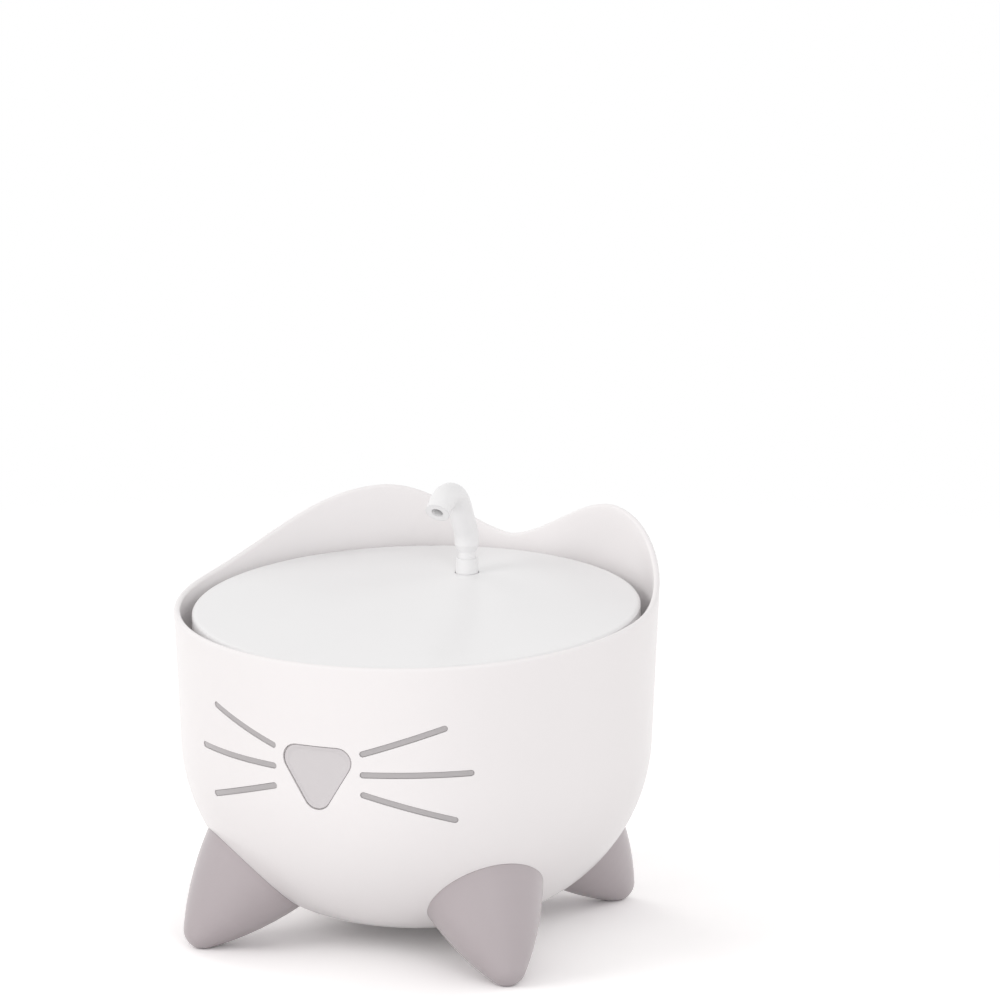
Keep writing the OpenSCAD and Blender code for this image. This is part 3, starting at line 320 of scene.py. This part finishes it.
def add_piece(name, parts, look, body, *cad_nodes):
    """One object from (points in mm, faces) pairs. Without a body it is only a tool."""
    verts, faces = [], []
    for points, polys in parts:
        base = len(verts)
        verts += [tuple(c * MM for c in q) for q in points]
        faces += [tuple(base + i for i in f) for f in polys]
    mesh = bpy.data.meshes.new(name)
    mesh.from_pydata(verts, [], faces)
    bm = bmesh.new()
    bm.from_mesh(mesh)
    bmesh.ops.recalc_face_normals(bm, faces=bm.faces)
    bm.to_mesh(mesh)
    bm.free()
    mesh.materials.append(mats[look])
    ob = bpy.data.objects.new(name, mesh)
    bpy.context.collection.objects.link(ob)
    if body:
        stand_for(ob, body, *cad_nodes)
    shade(ob, 35.0)
    return ob


def apply_modifiers(ob):
    bpy.context.view_layer.update()
    done = bpy.data.meshes.new_from_object(ob.evaluated_get(bpy.context.evaluated_depsgraph_get()))
    ob.modifiers.clear()
    ob.data = done


def loft(rings, closed=False):
    """Points and faces of a skin through rings of equal length.

    A closed one joins its last ring to its first, and an open one gets end faces."""
    n = len(rings[0])
    points = [q for ring in rings for q in ring]
    faces = []
    for k in range(len(rings) - (0 if closed else 1)):
        a, b = k * n, (k + 1) % len(rings) * n
        faces += [(a + i, a + (i + 1) % n, b + (i + 1) % n, b + i) for i in range(n)]
    if not closed:
        faces += [tuple(range(n)), tuple(range(len(points) - n, len(points)))]
    return points, faces


def arc(cx, cy, r, start, stop, steps):
    """Points on an arc, its angles in degrees."""
    turns = [math.radians(start + (stop - start) * i / steps) for i in range(steps + 1)]
    return [(cx + r * math.cos(t), cy + r * math.sin(t)) for t in turns]


def rounded(dx, dy, r, steps):
    """Outline of a rounded rectangle, with its corners centred on (+-dx, +-dy)."""
    corners = ((dx, -dy, -90), (dx, dy, 0), (-dx, dy, 90), (-dx, -dy, 180))
    return [q for cx, cy, start in corners for q in arc(cx, cy, r, start, start + 90, steps)]


# ------------------------------------------------------------------ bowl
# A turned shell with a rounded lip that follows the ears, and pockets for the nose and the whiskers.
# Its side leans out from the belly, which is round.

LEAN = math.radians(2.5)
RIM_R, RIM_Z = 115.4, 155.0
BELLY_R, BOTTOM, WALL = 88.0, 9.5, 3.0
BELLY_Z = BOTTOM + BELLY_R
TURN_Z = BELLY_Z - BELLY_R * math.sin(LEAN)
BELLY_X = RIM_R - (RIM_Z - TURN_Z) * math.tan(LEAN) - BELLY_R * math.cos(LEAN)
EAR_START, EAR_PEAK = 88, 147       # degrees from the front
EAR_RISE, REAR_RISE = 24, 16
FACE_Z, POCKET = 100.5, 2.1         # height of the nose's middle, and how deep its pocket goes
NOSE_WIDE, NOSE_HIGH, NOSE_CORNER = 35, 31, 7.0
# Each whisker's start above the face's middle, its length and its tilt in degrees
WHISKERS = ((12.8, 43, 18.5), (3.2, 53, 1), (-6, 47, -15.8))
WHISKER_START, WHISKER_R, GROOVE = 21.5, 1.5, 1.1


def wall_x(z, inset=0.0):
    """The wall's radius at a height, less inset along its normal."""
    if z < TURN_Z:
        return BELLY_X + math.sqrt((BELLY_R - inset) ** 2 - (BELLY_Z - z) ** 2)
    side = BELLY_X + BELLY_R * math.cos(LEAN) + (z - TURN_Z) * math.tan(LEAN)
    return side - inset / math.cos(LEAN)


def rim_height(beta):
    """Height of the rim at an angle from the front, in degrees."""
    b = abs((beta + 180) % 360 - 180)
    ear = 0.0
    if EAR_START < b <= EAR_PEAK:
        ear = math.cos(math.radians(90 * (EAR_PEAK - b) / (EAR_PEAK - EAR_START))) ** 2.8
    elif b > EAR_PEAK:
        ear = math.cos(math.radians(90 * (b - EAR_PEAK) / (180 - EAR_PEAK))) ** 1.6
    return RIM_Z + REAR_RISE * ((1 - math.cos(math.radians(b))) / 2) ** 1.2 + EAR_RISE * ear


def bowl_profile(top):
    """(radius, height) from the underside's middle, over the lip, to the floor's middle inside."""
    lip = WALL / 2 / math.cos(LEAN)
    low = top - lip
    out = [(BELLY_X * k / 4, BOTTOM) for k in range(1, 4)]
    out += arc(BELLY_X, BELLY_Z, BELLY_R, -90, -math.degrees(LEAN), 36)
    out += [(wall_x(z), z) for z in (TURN_Z + (low - TURN_Z) * k / 12 for k in range(1, 13))]
    middle = wall_x(low) - lip
    over = [math.radians(a) for a in range(20, 180, 20)]
    out += [(middle + lip * math.cos(t), low + lip * math.sin(t)) for t in over]
    turn = BELLY_Z - (BELLY_R - WALL) * math.sin(LEAN)
    out += [(wall_x(z, WALL), z) for z in (low + (turn - low) * k / 12 for k in range(12))]
    out += arc(BELLY_X, BELLY_Z, BELLY_R - WALL, -math.degrees(LEAN), -90, 36)
    return out + [(BELLY_X * k / 4, BOTTOM + WALL) for k in range(3, 0, -1)]


def bowl_shell(turns=264):
    columns = []
    for i in range(turns):
        degrees = 360.0 * i / turns
        b = math.radians(degrees)
        profile = bowl_profile(rim_height(degrees))
        columns.append([(r * math.sin(b), -r * math.cos(b), z) for r, z in profile])
    return loft([list(ring) for ring in zip(*columns)])


def on_wall(across, z, inset):
    """A point on the front wall, inset below its outer surface, seen from the front at across, z."""
    r = wall_x(z) - inset
    return (across, -math.sqrt(r * r - across * across), z)


def nose_outline():
    """A triangle with round corners, its tip down."""
    r, up, side = NOSE_CORNER, NOSE_HIGH / 2 - NOSE_CORNER, NOSE_WIDE / 2 - NOSE_CORNER
    lean = math.degrees(math.atan(side / (2 * up)))
    corners = ((-side, up, 180 + lean, 90 + lean), (side, up, 90, 90 + lean),
               (0, -up, -lean, 180 - 2 * lean))
    return [q for cx, cy, start, sweep in corners for q in arc(cx, cy, r, start, start - sweep, 12)]


def nose_part(*steps):
    """A skin through scaled nose outlines, each (scale, depth below the wall's outer surface)."""
    outline = nose_outline()
    return loft([[on_wall(x * k, FACE_Z + z * k, deep) for x, z in outline] for k, deep in steps])


def whisker_groove(side, row):
    """The tool that cuts one whisker's groove, on the left (-1) or the right (1)."""
    rise, length, tilt = WHISKERS[row]
    z0, tilt, r = FACE_Z + rise, math.radians(tilt), WHISKER_R
    r0 = wall_x(z0)
    turn = side * (math.asin(WHISKER_START / r0) + length * math.cos(tilt) / 2 / r0)
    mid_z = z0 + length * math.sin(tilt) / 2
    half = length / 2 - r
    starts, ends = ([math.radians(a) for a in some] for some in (range(6, 90, 14), range(82, 0, -14)))
    stations = [(-half - r * math.cos(t), r * math.sin(t)) for t in starts]
    stations += [(-half + 2 * half * k / 16, r) for k in range(17)]
    stations += [(half + r * math.cos(t), r * math.sin(t)) for t in ends]
    rings = []
    for along, wide in stations:
        ring = []
        for v, inset in ((-wide, -3), (wide, -3), (wide, GROOVE), (-wide, GROOVE)):
            x = along * math.cos(side * tilt) - v * math.sin(side * tilt)
            z = mid_z + along * math.sin(side * tilt) + v * math.cos(side * tilt)
            px, py, pz = on_wall(x, z, inset)
            ring.append((px * math.cos(turn) - py * math.sin(turn),
                         px * math.sin(turn) + py * math.cos(turn), pz))
        rings.append(ring)
    return loft(rings)


def add_bowl():
    bowl = add_piece("bowl", [bowl_shell()], "bowl", "reservoir", "reservoir")
    pocket = nose_part((1, -4), (1, POCKET), *[(k, POCKET) for k in (0.8, 0.6, 0.4, 0.2, 0.05)])
    grooves = [whisker_groove(side, row) for side in (-1, 1) for row in range(3)]
    cutter = add_piece("pockets", [pocket] + grooves, "bowl", None)
    cut = bowl.modifiers.new("pockets", "BOOLEAN")
    cut.operation, cut.solver, cut.object = "DIFFERENCE", "EXACT", cutter
    apply_modifiers(bowl)
    bpy.data.objects.remove(cutter)
    shade(bowl, 35.0)
    back = [(k, POCKET) for k in (0.05, 0.3, 0.6, 0.9)]
    edge = [(0.965, POCKET), (0.965, 0.75), (0.955, 0.55), (0.935, 0.5), (0.915, 0.55), (0.84, 1.25)]
    face = [(k, 1.35) for k in (0.81, 0.7, 0.5, 0.3, 0.05)]
    add_piece("nose", [nose_part(*back, *edge, *face)], "nose", "reservoir", "nose_window")


# ------------------------------------------------------------------ filter
# Pods with rounded undersides on a thin flange, and a film that stands up over each pod. In mm.

FILTER_LO, FILTER_HI = (Vector(v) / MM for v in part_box("filter_cup"))
FILM_TOP = film_hi[2] / MM
FILTER_Y = (FILTER_LO.y + FILTER_HI.y) / 2
POD_HALF, POD_SHIFT, POD_R = 19.0, 21.5, 11.0   # half a pod's side, its distance, its corners
POD_FOOT, SKIN = 2.9, 0.83                      # the radius round its underside, its wall
HOLE_R, FILM_HALF, FILM_R = 8.8, 44.0, 11.0
FLANGE = 0.8
RISE, SLOPE = 0.9, 5.0                          # the film over a pod, and how far that takes
SEAM, MARGIN, COLLAR = 2.7, 40.3, 10.4          # the rise starts beside the seams, edge and hole
CORNER_STEPS = 8


def pod_ring(sx, sy, inset, z):
    """Outline of one pod: a rounded square whose corner by the middle hole is cut round."""
    near, mid = POD_SHIFT - POD_HALF + inset, POD_SHIFT
    r, far = POD_R - inset, POD_HALF - POD_R
    hole = HOLE_R + 0.8 + inset
    a = math.degrees(math.atan2(near, math.sqrt(hole * hole - near * near)))
    corners = ((mid + far, mid - far, r, -90, 0), (mid + far, mid + far, r, 0, 90),
               (mid - far, mid + far, r, 90, 180), (0, 0, hole, 90 - a, a))
    return [(sx * x, FILTER_Y + sy * y, z) for c in corners for x, y in arc(*c, CORNER_STEPS)]


def square_ring(half, r, z):
    return [(x, FILTER_Y + y, z) for x, y in rounded(half - r, half - r, r, CORNER_STEPS)]


def hole_ring(r, z):
    """A ring round the middle hole, with as many points as square_ring and in step with it."""
    n = 4 * (CORNER_STEPS + 1)
    turns = [math.radians(-90 + (i + 0.5) * 360 / n) for i in range(n)]
    return [(r * math.cos(t), FILTER_Y + r * math.sin(t), z) for t in turns]


def plate(low, high, soft):
    """A rounded square sheet with a round hole and softened edges."""
    half, r = FILM_HALF, FILM_R
    return loft([
        hole_ring(HOLE_R + soft, low), square_ring(half - soft, r - soft, low),
        square_ring(half, r, low + soft), square_ring(half, r, high - soft),
        square_ring(half - soft, r - soft, high), hole_ring(HOLE_R + soft, high),
        hole_ring(HOLE_R, high - soft), hole_ring(HOLE_R, low + soft),
    ], closed=True)


def foot_rings(sx, sy, r, inset, low):
    """The rounded underside of a pod, or of the grains in it."""
    turns = [math.radians(a) for a in range(0, 91, 15)]
    steps = [(inset + r * (1 - math.sin(t)), low + r * (1 - math.cos(t))) for t in turns]
    return [pod_ring(sx, sy, *step) for step in steps]


def add_grains(sx, sy):
    """The block of grains inside one pod, concentric with the pod's rounded underside."""
    kind = "carbon" if sx < 0 else "resin"
    node = kind + ("_front" if sy < 0 else "_rear")
    low, high = (v[2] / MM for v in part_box(node))
    rings = foot_rings(sx, sy, POD_FOOT - SKIN, SKIN, low) + [pod_ring(sx, sy, SKIN, high)]
    add_piece(node.replace("_", "_grains_"), [loft(rings)], kind, "filter", node)


def square_radius(turn, half, r):
    """Distance from the middle to the outline of a rounded square, along one direction."""
    c, s, m = abs(math.cos(turn)), abs(math.sin(turn)), half - r
    if half * s <= m * c:
        return half / c
    if half * c <= m * s:
        return half / s
    b = m * (c + s)
    return b + math.sqrt(b * b - 2 * m * m + r * r)


def film_rise(x, y):
    """How far the film stands up over the pods."""
    rise = RISE
    bounds = abs(x) - SEAM, MARGIN - abs(x), abs(y) - SEAM, MARGIN - abs(y), math.hypot(x, y) - COLLAR
    for d in bounds:
        rise *= math.sin(math.pi / 2 * min(1.0, max(0.0, d / SLOPE)))
    return rise


def film_sheet(around=160, steps=32, thick=0.45, soft=0.15):
    """One thin sheet from the middle hole to the rounded edge, stretched up over each pod."""
    def ring(t, lift, inset):
        out = []
        for i in range(around):
            turn = 2 * math.pi * (i + 0.5) / around
            near, far = HOLE_R + inset, square_radius(turn, FILM_HALF, FILM_R) - inset
            x, y = ((near + (far - near) * t) * f for f in (math.cos(turn), math.sin(turn)))
            out.append((x, FILTER_Y + y, FILM_TOP - thick + lift + film_rise(x, y)))
        return out
    top = [ring(k / steps, thick, soft) for k in range(steps + 1)]
    under = [ring(k / steps, 0, soft) for k in range(steps, -1, -1)]
    edge = [ring(1, thick - soft, 0), ring(1, soft, 0)]
    hole = [ring(0, soft, 0), ring(0, thick - soft, 0)]
    return loft(top + edge + under + hole, closed=True)


def add_filter():
    flange = FILTER_HI.z
    pods = []
    for sx in (-1, 1):
        for sy in (-1, 1):
            rings = foot_rings(sx, sy, POD_FOOT, 0, FILTER_LO.z)
            pods.append(loft(rings + [pod_ring(sx, sy, 0, flange - FLANGE / 2)]))
            add_grains(sx, sy)
    pods.append(plate(flange - FLANGE, flange, 0.25))
    add_piece("filter_shell", pods, "cup", "filter", "filter_cup")
    cloth = add_piece("filter_cloth", [film_sheet()], "film", "filter", "filter_film")


# ------------------------------------------------------------------ ring on the flow cap
# A rounded section all round, and the barrel that it turns on. In mm.

RING_R = 14.2                                   # outside
BAND, RING_WIDE, RING_SOFT = 3.4, 5.0, 1.35     # its section's sides and corners
PIN_DROP = 12.2                                 # from the ring's middle to its pin
# The barrel's outline: along the pin, and the radius there
BARREL = ((5.3, 0.05), (5.3, 1.25), (0, 1.25), (0, 2.1),
          (0.4, 2.5), (8.6, 2.5), (9.3, 1.9), (9.3, 0.05))


def add_ring():
    lo, hi = (Vector(v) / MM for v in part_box("cap_ring"))
    cx, cy, cz = hi.x - RING_R, hi.y - RING_R, (lo.z + hi.z) / 2
    mid = RING_R - BAND / 2
    section = rounded(BAND / 2 - RING_SOFT, RING_WIDE / 2 - RING_SOFT, RING_SOFT, 5)
    round_ring = [2 * math.pi * i / 96 for i in range(96)]
    rings = [[(cx + (mid + u) * math.cos(t), cy + (mid + u) * math.sin(t), cz + v)
              for u, v in section] for t in round_ring]
    pin_y = cy - PIN_DROP
    round_pin = [2 * math.pi * i / 48 for i in range(48)]
    barrel = [[(lo.x + x, pin_y + q * math.cos(t), cz + q * math.sin(t)) for t in round_pin]
              for x, q in BARREL]
    add_piece("lift_ring", [loft(rings, closed=True), loft(barrel)], "shell", "ring", "cap_ring")


# ------------------------------------------------------------------ moulded parts
# The shape of these CAD nodes is right, and only their sharp edges are rounded.

SOFTENED = {        # node: (body, look, width of the rounding in mm)
    "lid": ("lid", "shell", 0.8),
    "spout_collar": ("collar", "shell", 0.3),
    "tray_ledge": ("reservoir", "bowl", 0.4),
    "ledge_ribs": ("reservoir", "bowl", 0.4),
    "end_plate": ("pump", "pump", 0.4),
    "intake_cover": ("pump", "pump", 0.4),
    "cord_gland": ("pump", "gland", 0.3),
}
LID_R = 106.97
MERGE, FLAT, SHARP = 0.03, 0.5, 40      # mm, degrees, degrees


def on_lid_rim(e):
    """Whether an edge lies on the lid's outer rim, between its top and its side."""
    side, top = sorted(abs(f.normal.z) for f in e.link_faces)
    upward = max(f.normal.z for f in e.link_faces) > 0.9
    outside = all(v.co.xy.length > (LID_R - 0.3) * MM for v in e.verts)
    return side < 0.2 and top > 0.9 and upward and outside


def add_softened(node, body, look, width):
    """A copy of a CAD node, which stands for it, with its sharp edges rounded where there is room."""
    mesh = nodes[node].data.copy()
    bm = bmesh.new()
    bm.from_mesh(mesh)
    weight = bm.edges.layers.float.new("bevel_weight_edge")
    bmesh.ops.remove_doubles(bm, verts=bm.verts, dist=MERGE * MM)
    bmesh.ops.dissolve_limit(bm, angle_limit=math.radians(FLAT), verts=bm.verts, edges=bm.edges)
    folds = (e for e in bm.edges if len(e.link_faces) == 2)
    sharp = {e for e in folds if e.calc_face_angle() > math.radians(SHARP)}
    for e in sharp:
        around = [other for v in e.verts for other in v.link_edges if other not in sharp]
        room = all(other.calc_length() > 1.6 * width * MM for other in around)
        if e.calc_length() > 0.3 * width * MM and room and (node != "lid" or on_lid_rim(e)):
            e[weight] = 1.0
    bm.to_mesh(mesh)
    bm.free()
    mesh.materials.clear()
    mesh.materials.append(mats[look])
    ob = bpy.data.objects.new(node + "_moulding", mesh)
    bpy.context.collection.objects.link(ob)
    shade(ob, 10.0)
    edge = ob.modifiers.new("edge", "BEVEL")
    edge.width, edge.segments, edge.limit_method = width * MM, 2, "WEIGHT"
    edge.use_clamp_overlap, edge.harden_normals = False, True
    apply_modifiers(ob)
    stand_for(ob, body, node)


add_bowl()
add_filter()
add_ring()
for cad_node, facts in SOFTENED.items():
    add_softened(cad_node, *facts)


# ------------------------------------------------------------------ floor and light

FLOOR_HALF, FLOOR_Z = 3.0, -0.0002
FLOOR_LIT = (0.80, 0.79, 0.79), (0.82, 0.81, 0.81)      # as light meets it
FLOOR_SEEN = (1.23, 1.22, 1.22), (1.25, 1.24, 1.24)     # as the camera and reflections see it
FADE = 0.55, 1.0                                        # where the floor fades into the world
WORLD_LIT, WORLD_SEEN = 0.66, 1.0
LAMPS = (       # name, place, height aimed at, size, watts, colour
    ("left", (-1.9, -2.1, 1.5), 0.15, 1.9, 25, (1.0, 0.99, 0.98)),
    ("right", (1.7, -2.3, 1.2), 0.15, 1.9, 22, (0.985, 0.99, 1.0)),
    ("back_left", (-2.1, 1.1, 1.5), 0.2, 1.4, 9, (1, 1, 1)),
    ("back_right", (1.9, 1.6, 1.5), 0.2, 1.4, 7, (1, 1, 1)),
)


def add_stage():
    s, z = FLOOR_HALF, FLOOR_Z
    mesh = bpy.data.meshes.new("floor")
    mesh.from_pydata([(-s, -s, z), (s, -s, z), (s, s, z), (-s, s, z)], [], [(0, 1, 2, 3)])
    floor = bpy.data.objects.new("floor", mesh)
    bpy.context.collection.objects.link(floor)
    g = Graph("floor")
    path = g.node("ShaderNodeLightPath").outputs
    seen = g.math("MAXIMUM", path["Is Glossy Ray"], path["Is Transmission Ray"])
    seen = g.math("MAXIMUM", path["Is Camera Ray"], seen)
    grain = g.noise(30.0, 2.0)
    colour = g.mix(seen, g.blotched(grain, *FLOOR_LIT), g.blotched(grain, *FLOOR_SEEN))
    surface = g.node("ShaderNodeBsdfDiffuse", {"Color": colour}).outputs[0]
    away = g.node("ShaderNodeVectorMath", {0: g.coord}, operation="LENGTH").outputs["Value"]
    clear = g.node("ShaderNodeBsdfTransparent").outputs[0]
    fade = g.math("MULTIPLY", g.span(away, *FADE, 0, 1), seen)
    both = g.node("ShaderNodeMixShader", {0: fade, 1: surface, 2: clear}).outputs[0]
    g.tree.links.new(both, g.out.inputs[0])
    mesh.materials.append(g.mat)


def add_world():
    """White as the camera, reflections and glass see it, and a softer light on the object."""
    world = bpy.data.worlds.new("studio")
    bpy.context.scene.world = world
    world.use_nodes = True
    tree = world.node_tree
    tree.nodes.clear()
    kinds = ("OutputWorld", "Background", "Background", "MixShader", "LightPath", "Math", "Math")
    made = [tree.nodes.new("ShaderNode" + kind) for kind in kinds]
    out, lit, white, mix, path, mirrored, seen = made
    mirrored.operation = seen.operation = "MAXIMUM"
    lit.inputs[0].default_value, lit.inputs[1].default_value = (1.0, 0.99, 0.985, 1), WORLD_LIT
    white.inputs[0].default_value, white.inputs[1].default_value = (1, 1, 1, 1), WORLD_SEEN
    for start, end in (
        (path.outputs["Is Glossy Ray"], mirrored.inputs[0]),
        (path.outputs["Is Transmission Ray"], mirrored.inputs[1]),
        (path.outputs["Is Camera Ray"], seen.inputs[0]),
        (mirrored.outputs[0], seen.inputs[1]),
        (seen.outputs[0], mix.inputs[0]),
        (lit.outputs[0], mix.inputs[1]),
        (white.outputs[0], mix.inputs[2]),
        (mix.outputs[0], out.inputs[0]),
    ):
        tree.links.new(start, end)


def add_lamp(name, place, aim, size, watts, colour):
    data = bpy.data.lights.new(name, "AREA")
    data.shape, data.size, data.energy, data.color = "DISK", size, watts, colour
    lamp = bpy.data.objects.new(name, data)
    bpy.context.collection.objects.link(lamp)
    lamp.location = place
    # From behind, the lid and the tray would otherwise mirror the front lamps and clip to white
    lamp.visible_glossy = False
    lamp.rotation_mode = "QUATERNION"
    lamp.rotation_quaternion = (Vector((0, 0, aim)) - Vector(place)).to_track_quat("-Z", "Y")


add_camera()
add_stage()
add_world()
for lamp_facts in LAMPS:
    add_lamp(*lamp_facts)
bpy.context.scene.view_settings.view_transform = "Standard"
